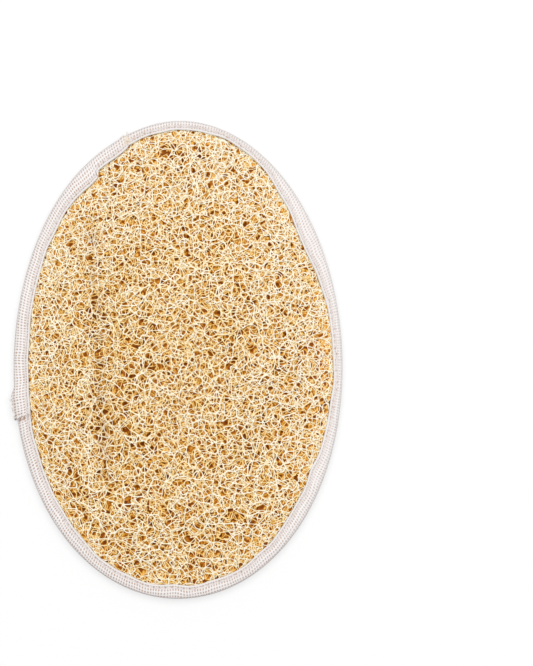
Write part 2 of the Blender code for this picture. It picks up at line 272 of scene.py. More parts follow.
def unit(vectors):
    return vectors / np.maximum(np.linalg.norm(vectors, axis=-1, keepdims=True), 1e-12)


def tubes(paths, radii, sides, high=1.0):
    """Points and faces of closed tubes along paths, an array of strands by stations by 3.

    high is the tubes' height as a share of their width.
    """
    along = unit(np.gradient(paths, axis=1))
    side = unit(np.cross(along, (0.0, 0.0, 1.0)))
    lift = high * np.cross(side, along)
    angle = math.pi / 2 + ROUND * np.arange(sides) / sides
    ring = np.cos(angle)[:, None] * side[:, :, None] + np.sin(angle)[:, None] * lift[:, :, None]
    points = paths[:, :, None] + radii[:, :, None, None] * ring
    strands, stations = paths.shape[:2]
    index = np.arange(strands * stations * sides).reshape(strands, stations, sides)
    here, ahead = index[:, :-1], index[:, 1:]
    walls = np.stack(
        [here, ahead, np.roll(ahead, -1, axis=2), np.roll(here, -1, axis=2)], axis=-1
    )
    caps = np.concatenate([index[:, 0], index[:, -1, ::-1]])
    return points.reshape(-1, 3), [walls.reshape(-1, 4), caps]


def triangulate(plan):
    found = delaunay_2d_cdt([Vector((x / MM, y / MM)) for x, y in plan], [], [], 0, 1e-5)
    return np.array([[found[3][i][0] for i in triangle] for triangle in found[2]])


def ring_walls(here, ahead):
    """Faces between closed rings of points. The last axis goes round them."""
    walls = [here, np.roll(here, -1, -1), np.roll(ahead, -1, -1), ahead]
    return np.stack(walls, axis=-1).reshape(-1, 4)


def grid(half_x, half_y, step):
    """An even grid over the pad, as an array of its x and its y."""
    x, y = np.meshgrid(np.arange(-half_x, half_x, step), np.arange(-half_y, half_y, step))
    return np.stack([x.ravel(), y.ravel()])


def layer_plans(points, step, rim, rings):
    """A layer's fine plan and its coarse plan, and the faces round both.

    Both have rim points round their edge. The fine one has the given points inside it,
    and the coarse one only rings, given by inset and count.
    """
    edge = oval(rim, STACK_INSET)
    inside = inset_of(*points) > STACK_INSET + 0.6 * step
    fine = np.concatenate([edge, points[:, inside].T])
    coarse = np.concatenate([edge, *(oval(count, inset) for inset, count in rings), np.zeros((1, 2))])
    here = np.arange(rim)
    ahead = (here + 1) % rim
    walls = np.column_stack([here, here + len(fine), ahead + len(fine), ahead])
    return fine, coarse, [triangulate(fine), triangulate(coarse)[:, ::-1] + len(fine), walls]


# Materials

# From the deepest fibres to the outermost: the dark, rich colours deep down are partly painted shade.
FIBRE_TONES = (
    (0.0, (0.24, 0.062, 0.003)),
    (0.2, (0.50, 0.19, 0.01)),
    (0.4, (0.79, 0.45, 0.085)),
    (0.6, (0.89, 0.66, 0.265)),
    (0.8, (0.915, 0.805, 0.54)),
    (1.0, (0.90, 0.865, 0.755)),
)
# Painted shade along the fold down the net.
FIBRE_SHADE = (0.42, 0.20, 0.055)
TAPE_WHITE = ((0.70, 0.665, 0.65), (0.78, 0.755, 0.745))
TAPE_HOLE = (0.40, 0.25, 0.17)
# Pinkish tint along the face seam, with painted shadow under the lap's end and painted shade in the
# back seam's groove.
TAPE_BLUSH_AND_SHADE = (0.34, 0.21, 0.16)
# Painted shade round the tape's rim, and a greyer hem.
TAPE_GREY_AND_SHADE = (0.36, 0.31, 0.30)
TAPE_TAN = (0.73, 0.61, 0.46)
CLOTH_WHITE = ((0.78, 0.775, 0.73), (0.87, 0.865, 0.83))
CLOTH_HOLE = (0.47, 0.38, 0.27)
CLOTH_TAN = (0.62, 0.49, 0.34)
STRAP_WHITE = ((0.76, 0.77, 0.83), (0.86, 0.87, 0.92))
STRAP_LINES = (0.40, 0.41, 0.5)
THREAD_WHITE = ((0.64, 0.60, 0.585), (0.78, 0.75, 0.74))
SURFACE = "Principled BSDF"


def add_node(tree, kind, inputs, **settings):
    """A node with these settings, its inputs set to values or linked to outputs."""
    node = tree.nodes.new(kind)
    for key, value in settings.items():
        setattr(node, key, value)
    for key, value in inputs.items():
        if isinstance(value, bpy.types.NodeSocket):
            tree.links.new(value, node.inputs[key])
        else:
            node.inputs[key].default_value = value
    return node


def shader(name, **inputs):
    """A material with these inputs of its surface shader, and its node tree."""
    material = bpy.data.materials.new(name)
    material.use_nodes = True
    tree = material.node_tree
    for key, value in inputs.items():
        tree.nodes[SURFACE].inputs[key.replace("_", " ")].default_value = value
    return material, tree


def cover(material, colour, height, deep):
    """The material with a colour and a fine relief."""
    tree = material.node_tree
    surface = tree.nodes[SURFACE]
    relief = add_node(tree, "ShaderNodeBump", {"Distance": deep, "Height": height})
    tree.links.new(colour, surface.inputs["Base Color"])
    tree.links.new(relief.outputs["Normal"], surface.inputs["Normal"])
    return material


def attribute(tree, label, output="Fac"):
    return add_node(tree, "ShaderNodeAttribute", {}, attribute_name=label).outputs[output]


def noise(tree, scale, detail):
    place = add_node(tree, "ShaderNodeTexCoord", {}).outputs["Object"]
    inputs = {"Scale": scale, "Detail": detail, "Vector": place}
    return add_node(tree, "ShaderNodeTexNoise", inputs).outputs["Fac"]


def maths(tree, operation, *values):
    node = add_node(tree, "ShaderNodeMath", dict(enumerate(values)), operation=operation)
    return node.outputs["Value"]


def ramp(tree, value, stops):
    node = add_node(tree, "ShaderNodeValToRGB", {"Fac": value})
    elements = node.color_ramp.elements
    while len(elements) < len(stops):
        elements.new(0.5)
    for element, (place, colour) in zip(elements, stops):
        element.position = place
        element.color = (*colour, 1)
    return node.outputs["Color"]


def mix(tree, share, *colours):
    first, second = ((*c, 1) if isinstance(c, tuple) else c for c in colours)
    inputs = {"Factor": share, 6: first, 7: second}
    return add_node(tree, "ShaderNodeMix", inputs, data_type="RGBA").outputs[2]


def lattice(tree, shift=0.0):
    """How far a place in the weave is from the nearest crossing, along and across.

    shift moves every second column along by a share of the pitch.
    """
    split = add_node(tree, "ShaderNodeSeparateXYZ", {"Vector": attribute(tree, "weave", "Vector")})
    along, across = split.outputs["X"], split.outputs["Y"]
    if shift:
        column = maths(tree, "FLOOR", maths(tree, "ADD", across, 0.5))
        odd = maths(tree, "MODULO", maths(tree, "ADD", column, 64.0), 2.0)
        along = maths(tree, "ADD", along, maths(tree, "MULTIPLY", odd, shift))
    shares = [maths(tree, "FRACT", maths(tree, "ADD", way, 0.5)) for way in (along, across)]
    return [maths(tree, "SUBTRACT", share, 0.5) for share in shares]


def dots(tree, along, across, size_along, size_across, soft):
    """1 in an oval dot at each crossing of a lattice and 0 outside it."""
    squares = []
    for way, size in ((along, size_along), (across, size_across)):
        share = maths(tree, "DIVIDE", maths(tree, "ABSOLUTE", way), size)
        squares.append(maths(tree, "POWER", share, 2.0))
    far = maths(tree, "SQRT", maths(tree, "ADD", *squares))
    inputs = {"From Min": 1 + soft, "From Max": 1 - soft, "Value": far}
    node = add_node(tree, "ShaderNodeMapRange", inputs, interpolation_type="SMOOTHSTEP")
    return node.outputs["Result"]


def grained(tree, scale, share, holes):
    """The height of fine thread, lower in its holes."""
    fine = maths(tree, "MULTIPLY", noise(tree, scale, 2), share)
    return maths(tree, "SUBTRACT", fine, holes)


def fibre_material():
    """Dry loofah: cream on the outer strands, through straw to orange brown deep down, partly as
    painted shade, with painted shade along the fold.
    """
    material, tree = shader("loofah_fibre", Roughness=0.6, Specular_IOR_Level=0.12)
    grain = noise(tree, 900, 3)
    tone = attribute(tree, "tone")
    for field, swing in ((grain, 0.3), (noise(tree, 120, 2), 0.24)):
        tone = maths(tree, "ADD", tone, maths(tree, "MULTIPLY_ADD", field, swing, -swing / 2))
    colour = mix(tree, attribute(tree, "shade"), ramp(tree, tone, FIBRE_TONES), FIBRE_SHADE)
    return cover(material, colour, grain, 0.05 * MM)


def tape_material():
    """White knitted tape with small warm eyelets, and darker ones along its seam."""
    material, tree = shader("binding_tape", Roughness=0.85, Sheen_Weight=0.25)
    holes = dots(tree, *lattice(tree), 0.24, 0.31, 0.5)
    holes = maths(tree, "MULTIPLY", holes, attribute(tree, "open"))
    uneven = maths(tree, "MULTIPLY_ADD", noise(tree, 420, 2), 0.9, 0.3)
    colour = mix(tree, noise(tree, 60, 3), *TAPE_WHITE)
    # Mixes in the pinkish tint with its painted shadow and shade, the painted shade round the rim,
    # the eyelets and the straw colour.
    for share, shade in (
        (attribute(tree, "blush_and_shade"), TAPE_BLUSH_AND_SHADE),
        (attribute(tree, "rim_shade_and_hem_grey"), TAPE_GREY_AND_SHADE),
        (maths(tree, "MULTIPLY", holes, uneven), TAPE_HOLE),
        (attribute(tree, "tan"), TAPE_TAN),
    ):
        colour = mix(tree, share, colour, shade)
    return cover(material, colour, grained(tree, 2600, 0.35, holes), 0.12 * MM)


def cloth_material():
    """Off-white bird's-eye knit with beige holes between its stitches."""
    material, tree = shader("knit_cloth", Roughness=0.9, Sheen_Weight=0.25)
    along, across = lattice(tree, 0.5)
    holes = dots(tree, along, across, 0.24, 0.2, 0.5)
    beside, past = maths(tree, "ADD", along, 0.3), maths(tree, "ADD", across, 0.26)
    small = maths(tree, "MULTIPLY", dots(tree, beside, past, 0.11, 0.12, 0.6), 0.5)
    uneven = maths(tree, "MULTIPLY_ADD", noise(tree, 500, 1), 0.8, 0.45)
    marked = maths(tree, "MULTIPLY", maths(tree, "MAXIMUM", holes, small), uneven)
    colour = mix(tree, marked, mix(tree, noise(tree, 300, 3), *CLOTH_WHITE), CLOTH_HOLE)
    colour = mix(tree, attribute(tree, "tan"), colour, CLOTH_TAN)
    return cover(material, colour, grained(tree, 2200, 0.3, holes), 0.2 * MM)


def strap_material():
    """Bluish white elastic with fine dotted lines between its ribs."""
    material, tree = shader("elastic_webbing", Roughness=0.7, Sheen_Weight=0.2)
    lines = dots(tree, *lattice(tree), 0.34, 0.12, 0.5)
    thread = mix(tree, noise(tree, 500, 2), *STRAP_WHITE)
    colour = mix(tree, maths(tree, "MULTIPLY", lines, 0.8), thread, STRAP_LINES)
    return cover(material, colour, grained(tree, 2600, 0.4, lines), 0.12 * MM)


def thread_material():
    material, tree = shader("sewing_thread", Roughness=0.6, Sheen_Weight=0.2)
    colour = mix(tree, noise(tree, 1500, 2), *THREAD_WHITE)
    return cover(material, colour, noise(tree, 4000, 2), 0.04 * MM)


# The net of the loofah

NET_UNDER_TAPE = 0.9 * MM
NET_FADE = 6 * MM
NET_EDGE_SHARE = 0.4
LUMP = 0.3 * MM
LOW_END_OPEN = 0.1  # share of the knots missing at the -Y end
ROW_STEP = 0.866  # from row to row of knots, as a share of their pitch
NET_SPREAD = 0.25 * MM
WAVES = 24  # swells that add up to a random field
NET_LAYERS = (
    # name, seed, strand width, pitch, share of links kept, level, stations, strands over pits
    ("net_outer", 31, 0.28 * MM, 1.9 * MM, 0.56, 0.3 * MM, 5, 0.75),
    ("net_upper", 32, 0.26 * MM, 1.62 * MM, 0.53, -0.25 * MM, 4, 0.5),
    ("net_middle", 33, 0.28 * MM, 1.4 * MM, 0.5, -0.8 * MM, 3, 0.3),
)
STRAND_SIDES = 3
STRAND_HIGH = 0.5  # height of a strand as a share of its width

# Single fibres over the net
FIBRE_WIDE = 0.27 * MM
LONG_STRANDS = 60
CURLS = 60

# Tones of the strands: darker deeper down, partly as painted shade, with painted light and shade on
# them
DEEPEST = -2.2 * MM
HIGHEST = 0.45 * MM
# painted highlight along the top of each strand, and painted shade down its sides
RIDGE_HIGHLIGHT = 0.08
SIDE_SHADE = 0.32
PALEST = 1.08
# painted light on the +X and +Y sides
PAINTED_SIDE_LIGHT = 0.04
RIM_PALE = 0.14

# The web under the strands
CORE_STEP = 0.5 * MM
CORE_RIM = 300
CORE_RINGS = ((8 * MM, 100), (16 * MM, 60), (28 * MM, 40), (42 * MM, 16))
CORE_LEVEL = -1.3 * MM
CORE_LEAST = 0.4 * MM
CORE_ROUGH = 0.14 * MM
CORE_WEB = 1.5 * MM
CORE_PIT = 1.7 * MM
# low tone of the deep web, partly painted shade
CORE_TONE = 0.1
CORE_PATCH = 0.14
# painted shade in the pits
CORE_PIT_SHADE = 0.45


def net_face(x, y):
    """The loofah face that the strands follow, with its low uneven swells."""
    lumps = np.sin(x / MM * 0.21 + 0.8) * np.sin(y / MM * 0.17 + 2.1)
    lumps = lumps + 0.7 * np.sin(x / MM * 0.37 - y / MM * 0.29 + 0.4)
    return mat_top(x, y) + LUMP * lumps * depth_share(x, y)


def net_edge(theta):
    return face_edge(theta) - NET_UNDER_TAPE


def depth_share(x, y):
    """How much of its depth the net has: little under the tape, all of it further in."""
    theta, inset = turn_and_inset(x, y)
    grown = smooth(0, NET_FADE, inset - face_edge(theta))
    return NET_EDGE_SHARE + (1 - NET_EDGE_SHARE) * grown


def spread_points(count, rng):
    """Random points over the mat."""
    turns = rng.uniform(0, ROUND, count)
    insets = 5 * MM + 49 * MM * (1 - np.sqrt(rng.random(count)))
    return np.stack(inset_point(turns, insets), axis=1)


# The fold down the net, with painted shade along it, and the pits, where it is open deep down,
# darkened by painted shade

FOLD_LINE = (-25.6 * MM, -0.059)  # its place along X at the middle, and how that changes with Y
FOLD_HALF = 2.6 * MM
FOLD_ENDS = (-40 * MM, 45 * MM)
# painted shade along the fold
FOLD_SHADE = 0.23
FOLD_PITS = 110

PITS = 1900
PIT_CLUSTERS = 60
PIT_SPREAD = 4.0 * MM
PIT_CLUSTERED = 0.3  # share of them in clusters
PIT_RADIUS = (0.2 * MM, 0.5 * MM)
PIT_LEAST = 0.6  # share of them kept on the -X side
PIT_CELL = 0.1 * MM
PIT_WINDOW = 14  # cells to each side of a pit's middle that it can reach


def pit_field():
    """How open the net is, on a grid over the pad: 1 in the middle of a pit and 0 outside."""
    rng = np.random.default_rng(61)
    rows, columns = int(2 * HALF_LENGTH / PIT_CELL), int(2 * HALF_WIDTH / PIT_CELL)
    field = np.zeros((rows, columns))
    middles, alone = spread_points(PIT_CLUSTERS, rng), spread_points(PITS, rng)
    in_cluster = middles[rng.integers(PIT_CLUSTERS, size=PITS)] + rng.normal(0, PIT_SPREAD, (PITS, 2))
    pits = np.where(rng.random((PITS, 1)) < PIT_CLUSTERED, in_cluster, alone)
    kept = PIT_LEAST + (1 - PIT_LEAST) * smooth(-38 * MM, 0, pits[:, 0])
    pits = pits[rng.random(PITS) < kept]
    along = rng.uniform(*FOLD_ENDS, FOLD_PITS)
    beside = FOLD_LINE[0] + FOLD_LINE[1] * along + rng.normal(0, 0.5 * FOLD_HALF, FOLD_PITS)
    pits = np.concatenate([pits, np.stack([beside, along], axis=1)])
    window = np.arange(-PIT_WINDOW, PIT_WINDOW + 1)
    least, most = PIT_RADIUS
    for x, y in pits:
        column, row = int((x + HALF_WIDTH) / PIT_CELL), int((y + HALF_LENGTH) / PIT_CELL)
        if not (PIT_WINDOW < row < rows - PIT_WINDOW and PIT_WINDOW < column < columns - PIT_WINDOW):
            continue
        radius = (least + (most - least) * rng.random() ** 2) / PIT_CELL
        long, turn = rng.uniform(1.0, 1.7), rng.uniform(0, math.pi)
        along = (window[None] * math.cos(turn) + window[:, None] * math.sin(turn)) / (radius * long)
        across = (window[:, None] * math.cos(turn) - window[None] * math.sin(turn)) / radius
        share = 1 - smooth(0.5, 1.4, np.hypot(along, across))
        part = np.ix_(row + window, column + window)
        field[part] = np.maximum(field[part], share)
    return field


PIT_FIELD = pit_field()


def pit_share(x, y):
    rows, columns = PIT_FIELD.shape
    row = np.clip((y + HALF_LENGTH) / PIT_CELL, 0, rows - 1).astype(int)
    column = np.clip((x + HALF_WIDTH) / PIT_CELL, 0, columns - 1).astype(int)
    return PIT_FIELD[row, column]


def waves(x, y, length, rng):
    """An even random field with swells of about the given length, between about -2 and 2."""
    total = np.zeros_like(x)
    for _ in range(WAVES):
        turn = rng.uniform(0, math.pi)
        number = ROUND / (length * rng.uniform(0.7, 1.5))
        total += np.sin(number * (x * math.cos(turn) + y * math.sin(turn)) + rng.uniform(0, 6.3))
    return total / math.sqrt(WAVES / 2)


def scatter(pitch, jitter, rng):
    """Uneven points over the mat, fewer at the -Y end, where the net is wider."""
    rows = int(HALF_LENGTH / (pitch * ROW_STEP)) + 2
    columns = int(HALF_WIDTH / pitch) + 2
    row, column = np.mgrid[-rows:rows + 1, -columns:columns + 1]
    x = (column + 0.5 * (row % 2)) * pitch
    y = row * pitch * ROW_STEP
    points = np.stack([x.ravel(), y.ravel()], axis=1)
    points += rng.uniform(-jitter, jitter, points.shape) * pitch
    theta, inset = turn_and_inset(*points.T)
    points = points[inset > net_edge(theta)]
    open_end = LOW_END_OPEN * smooth(10 * MM, -60 * MM, points[:, 1])
    points = points[rng.random(len(points)) > open_end]
    return points[pit_share(*points.T) < rng.uniform(0.2, 1.0, len(points))]


def net_edges(points, keep, rng):
    """Pairs of neighbouring points: a random share, but two for each point at least."""
    triangles = triangulate(points)
    pairs = np.concatenate([triangles[:, [0, 1]], triangles[:, [1, 2]], triangles[:, [2, 0]]])
    pairs = np.unique(np.sort(pairs, axis=1), axis=0)
    length = np.linalg.norm(np.subtract(*points[pairs.T]), axis=1)
    usual = np.median(length)
    pairs, length = pairs[length < 2.6 * usual], length[length < 2.6 * usual]
    kept = rng.random(len(pairs)) < keep * (1.5 - 0.5 * length / usual)
    degree = np.zeros(len(points), int)
    for i in np.argsort(length):
        a, b = pairs[i]
        if kept[i] or degree[a] < 2 or degree[b] < 2:
            kept[i] = True
            degree[a] += 1
            degree[b] += 1
    return pairs[kept]


def net_strands(pitch, keep, level, stations, over_pits, rng):
    """Curved paths of one layer of the net, and their heights over the face."""
    points = scatter(pitch, 0.42, rng)
    pairs = net_edges(points, keep, rng)
    start, end = points[pairs.T]
    run = end - start
    bow = rng.normal(0, 0.26, len(pairs))[:, None]
    control = (start + end) / 2 + bow * np.stack([-run[:, 1], run[:, 0]], axis=1)
    t = np.linspace(0, 1, stations)[None, :, None]
    plan = (1 - t) ** 2 * start[:, None] + 2 * t * (1 - t) * control[:, None] + t**2 * end[:, None]
    rise = rng.uniform(-NET_SPREAD, NET_SPREAD, len(points))
    share = t[..., 0]
    first, second = rise[pairs.T][..., None]
    height = level + first * (1 - share) + second * share
    arch = rng.uniform(-0.5, 0.8, len(pairs))[:, None] * NET_SPREAD * 4 * share * (1 - share)
    height = height + arch
    x, y = plan[..., 0], plan[..., 1]
    kept = pit_share(x, y).max(axis=1) * (1 - over_pits) < rng.random(len(pairs))
    for _ in range(3):
        meeting = np.bincount(pairs[kept].ravel(), minlength=len(points))
        kept &= (meeting[pairs] > 1).all(axis=1)
    x, y, height = x[kept], y[kept], height[kept]
    z = net_face(x, y) + height * depth_share(x, y)
    return np.stack([x, y, z], axis=-1), height


def flared(strands, stations, width, rng):
    """Radii along strands: uneven from strand to strand and wider at both ends."""
    along = np.abs(np.linspace(-1, 1, stations))[None, :]
    own = rng.lognormal(0, 0.22, strands)[:, None]
    return 0.5 * width * own * (1 + 0.7 * along**6)


def tone_of(paths, height, rng):
    """Tone by height: 0 at the deepest of the net and 1 on its outermost strands; the darker deep
    tones are partly painted shade, and place_tone adds painted light.
    """
    value = np.clip((height - DEEPEST) / (HIGHEST - DEEPEST), 0, 1)
    x, y = paths[..., 0], paths[..., 1]
    return value + place_tone(x, y) + rng.normal(0, 0.06, len(paths))[:, None]


def place_tone(x, y):
    """The net is a little paler towards its rim, and painted light makes it paler on its +X and +Y
    sides.
    """
    return PAINTED_SIDE_LIGHT * (x / HALF_WIDTH + y / HALF_LENGTH) + RIM_PALE * dome_share(x, y) ** 2


def ridge_light_and_side_shade(tone):
    """Tone of each point round the strands: a painted highlight along the top and painted shade down
    the sides.
    """
    top = np.zeros(STRAND_SIDES)
    top[0] = 1
    return (np.minimum(tone, PALEST)[..., None] + RIDGE_HIGHLIGHT * top - SIDE_SHADE * (1 - top)).ravel()


def fold_shade(x, y):
    """Uneven painted shade along the fold down the net."""
    middle = FOLD_LINE[0] + FOLD_LINE[1] * y
    low, high = FOLD_ENDS
    ends = smooth(low - 8 * MM, low + 8 * MM, y) * (1 - smooth(high - 8 * MM, high + 8 * MM, y))
    patches = np.clip(0.75 + 0.35 * waves(x, y, 6 * MM, np.random.default_rng(9)), 0.2, 1.4)
    return FOLD_SHADE * ends * patches * bell(x - middle, FOLD_HALF)


def fibre_piece(name, material, points, faces, tone, soft=False):
    marks = [("tone", tone), ("shade", fold_shade(points[:, 0], points[:, 1]))]
    return new_piece(name, points, faces, material, "loofah_mat", marks, soft)


def strand_piece(name, material, paths, height, width, rng):
    """Flattened strands along paths at the given heights over the face."""
    radii = flared(*height.shape, width, rng)
    points, faces = tubes(paths, radii, STRAND_SIDES, STRAND_HIGH)
    fibre_piece(name, material, points, faces, ridge_light_and_side_shade(tone_of(paths, height, rng)))


def long_strands(material):
    """Long curved fibres that cross many cells of the net, more of them across the pad."""
    rng = np.random.default_rng(21)
    stations = 22
    paths = []
    while len(paths) < LONG_STRANDS:
        start = inset_point(rng.uniform(0, ROUND), 54 * MM * (1 - math.sqrt(rng.random())))
        heading = rng.normal(0, 0.55) if rng.random() < 0.6 else rng.uniform(-1.6, 1.6)
        turn = rng.normal(0, 0.05) + np.cumsum(rng.normal(0, 0.03, stations))
        headings = heading + np.cumsum(turn)
        step = rng.uniform(0.4, 1.1) * MM
        x = start[0] + np.cumsum(step * np.cos(headings))
        y = start[1] + np.cumsum(step * np.sin(headings))
        theta, inset = turn_and_inset(x, y)
        if (inset > net_edge(theta)).all():
            wave = 0.2 * MM * np.sin(np.linspace(0, rng.uniform(3, 9), stations) + rng.uniform(0, 6))
            height = rng.uniform(0.1, 0.4) * MM + wave - 0.9 * MM * np.linspace(-1, 1, stations) ** 6
            paths.append((x, y, net_face(x, y) + height * depth_share(x, y), height))
    paths = np.array(paths)
    places = np.moveaxis(paths[:, :3], 1, 2)
    strand_piece("net_long_strands", material, places, paths[:, 3], FIBRE_WIDE, rng)


def curled_strands(material):
    """Small fibres curled into open loops."""
    rng = np.random.default_rng(51)
    stations = 14
    turns, insets = rng.uniform(0, ROUND, CURLS), 7 * MM + 46 * MM * rng.random(CURLS)
    centre_x, centre_y = (place[:, None] for place in inset_point(turns, insets))
    radius = rng.uniform(0.7, 1.5, CURLS)[:, None] * MM
    start = rng.uniform(0, ROUND, CURLS)[:, None]
    sweep = rng.uniform(3.2, 5.8, CURLS)[:, None]
    share = np.linspace(0, 1, stations)[None]
    angle = start + sweep * share
    x = centre_x + radius * rng.uniform(0.75, 1.2, CURLS)[:, None] * np.cos(angle)
    y = centre_y + radius * np.sin(angle)
    height = rng.uniform(-0.2, 0.35, CURLS)[:, None] * MM + 0.15 * MM * np.sin(2 * angle)
    height = height - 0.5 * MM * np.abs(2 * share - 1) ** 6
    paths = np.stack([x, y, net_face(x, y) + height * depth_share(x, y)], axis=-1)
    strand_piece("net_curls", material, paths, height, FIBRE_WIDE, rng)


def mat_core(material):
    """The web of fine fibres under the strands, with its pits."""
    rng = np.random.default_rng(5)
    even = grid(HALF_WIDTH, HALF_LENGTH, CORE_STEP)
    uneven = even + rng.uniform(-0.3, 0.3, even.shape) * CORE_STEP
    plan, under, faces = layer_plans(uneven, CORE_STEP, CORE_RIM, CORE_RINGS)
    x, y = plan.T
    pits = pit_share(x, y)
    web = waves(x, y, CORE_WEB, rng)
    relief = CORE_LEVEL + CORE_ROUGH * (web + rng.uniform(-0.6, 0.6, len(x))) - CORE_PIT * pits
    top = np.maximum(net_face(x, y) + relief * depth_share(x, y), mat_bottom(x, y) + CORE_LEAST)
    # The deep web's low tone is partly painted shade, and painted shade darkens the pits.
    tone = CORE_TONE + CORE_PATCH * web + rng.normal(0, 0.08, len(x)) - CORE_PIT_SHADE * pits**0.7
    tone = np.concatenate([tone + place_tone(x, y), np.full(len(under), CORE_TONE)])
    low = mat_bottom(*under.T)
    points = np.concatenate([np.column_stack([plan, top]), np.column_stack([under, low])])
    fibre_piece("net_core", material, points, faces, tone, soft=True)


def loofah_mat():
    material = fibre_material()
    mat_core(material)
    long_strands(material)
    curled_strands(material)
    for name, seed, width, *shape in NET_LAYERS:
        rng = np.random.default_rng(seed)
        paths, height = net_strands(*shape, rng)
        strand_piece(name, material, paths, height, width, rng)


# The tape

TAPE_PITCH = (0.96 * MM, 1.15 * MM)  # between eyelets, along the tape and across it
PER_PITCH = 3  # mesh steps for each
FACE_ROWS = 33
BACK_ROWS = 18
CURVE_STEPS = 10
TAPE_EDGE = 0.5 * MM
RUNG_HIGH = 0.08 * MM
HOLE_DEEP = 0.12 * MM
# width of the painted shade round the tape's rim
RIM_SHADE_WIDTH = 0.55 * MM
RIM_SHADE = (0.1, 0.35, 0.4, 0.9)  # painted shade of the rim at +X, +Y, -X and -Y
HEM_GREY = 0.16
EYELETS = (0.6, 0.85, 1.0, 1.0)  # how clearly the eyelets show there
EYELETS_FADE = 0.65  # on the back
WEAVE_STRAY = 0.09  # how far the eyelets stray, as a share of their pitch
# painted shadow under the upper end of the lap, and how many columns it covers
END_SHADE = 1.6
END_COLUMNS = 4
STITCH_COLUMNS = 6.5  # mesh columns from one stitch of the face seam to the next
GROOVE_HALF = 0.4 * MM

# Its flaws, by turn angle, as it was fed by hand
FACE_WAVES = (  # turn angle, how many mm wider the face is there, how far round
    (33, 2.6, 13),
    (48, 0.55, 6),
    (70, -0.35, 9),
    (142, 0.4, 6),
    (182, 0.35, 13),
    (199, -0.3, 8),
    (230, 0.2, 8),
    (240, -0.45, 4),
    (268, 0.8, 4),
    (282, 0.6, 12),
    (300, 0.35, 4),
    (320, 1.45, 19),
    (330, 0.5, 3),
    (357, -0.3, 6),
)
PLEAT = math.radians(108.9)
PLEAT_WIDE = 1.1 * MM
PLEAT_CORNER = 0.09
PLEAT_END = 0.6
PLEAT_RISE = 0.5 * MM
TORN = math.radians(122.3)
TORN_WIDE = 1.65 * MM
TORN_END = 0.34
FRAYS = (  # height of the bump's place along Y, how far it stands out, its spread
    (-12.7 * MM, 0.85 * MM, 0.45 * MM),
    (-16.6 * MM, 0.2 * MM, 1.0 * MM),
    (-19.0 * MM, -0.6 * MM, 1.0 * MM),
)
FRAY_HALF = 1.1 * MM
PLEAT_BUMP = (math.radians(110.8), 0.45 * MM, 0.015)
RAGGED = 0.5 * MM


def face_edge(theta):
    """The inset of the tape's inner edge on the face, with its waves, kinks and pleat."""
    width = round_the_rim(FACE_WIDTH, theta)
    width = width + 0.08 * MM * np.sin(23 * theta + 0.6) + 0.06 * MM * np.sin(37 * theta + 2.0)
    for place, wider, spread in FACE_WAVES:
        away = wrapped(theta - math.radians(place))
        width = width + wider * MM * bell(away, math.radians(spread))
    turn = wrapped(theta - PLEAT)
    corner = np.sqrt(1 - (1 - np.clip(turn / PLEAT_CORNER, 0, 1)) ** 2)
    width = width + PLEAT_WIDE * corner * (1 - smooth(PLEAT_CORNER, PLEAT_END, turn))
    turn = wrapped(theta - TORN)
    return width + TORN_WIDE * smooth(0, 0.02, turn) * (1 - smooth(0.05, TORN_END, turn))


def pleat_rise(theta):
    """The wide side of the pleat lies over the narrow side."""
    turn = wrapped(theta - PLEAT)
    return PLEAT_RISE * smooth(0, 0.012, turn) * (1 - smooth(0.03, PLEAT_END, turn))


def fray(theta):
    """How far the tape's rim stands out, at the lap's loose end and at the pleat."""
    x, y = outline(theta)
    out = np.zeros_like(theta)
    for place, far, spread in FRAYS:
        out = out + far * bell(y - place, spread) * (x < 0)
    place, far, spread = PLEAT_BUMP
    return out + far * bell(wrapped(theta - place), spread)


def lap_share(theta):
    """How much of the tape's lower end lies under the upper one: 1 along most of the lap."""
    x, y = outline(theta)
    return (1 - smooth(LAP_FULL, LAP_START, y)) * (x < 0)


def shown_lap(theta):
    """The same, as far as the upper end goes."""
    return lap_share(theta) * (outline(theta)[1] > LAP_END)


def tape_rise(theta, lap):
    """How far the lap and the pleat lift the tape on the face."""
    return LAP_RISE * lap + pleat_rise(theta)


def over_mat(theta, inset):
    """The height of the tape's inner side on the loofah."""
    return mat_top(*inset_point(theta, inset)) + GAP


def under_cloth(theta, inset):
    """The height of the tape's inner side under the cloth."""
    return hollow(*inset_point(theta, inset)) - GAP


def stacked(theta, rows):
    """Rows of insets and heights as one array, turn angles first."""
    full = [np.broadcast_arrays(theta, *row)[1:] for row in rows]
    return np.stack([np.stack(row, axis=-1) for row in full], axis=1)


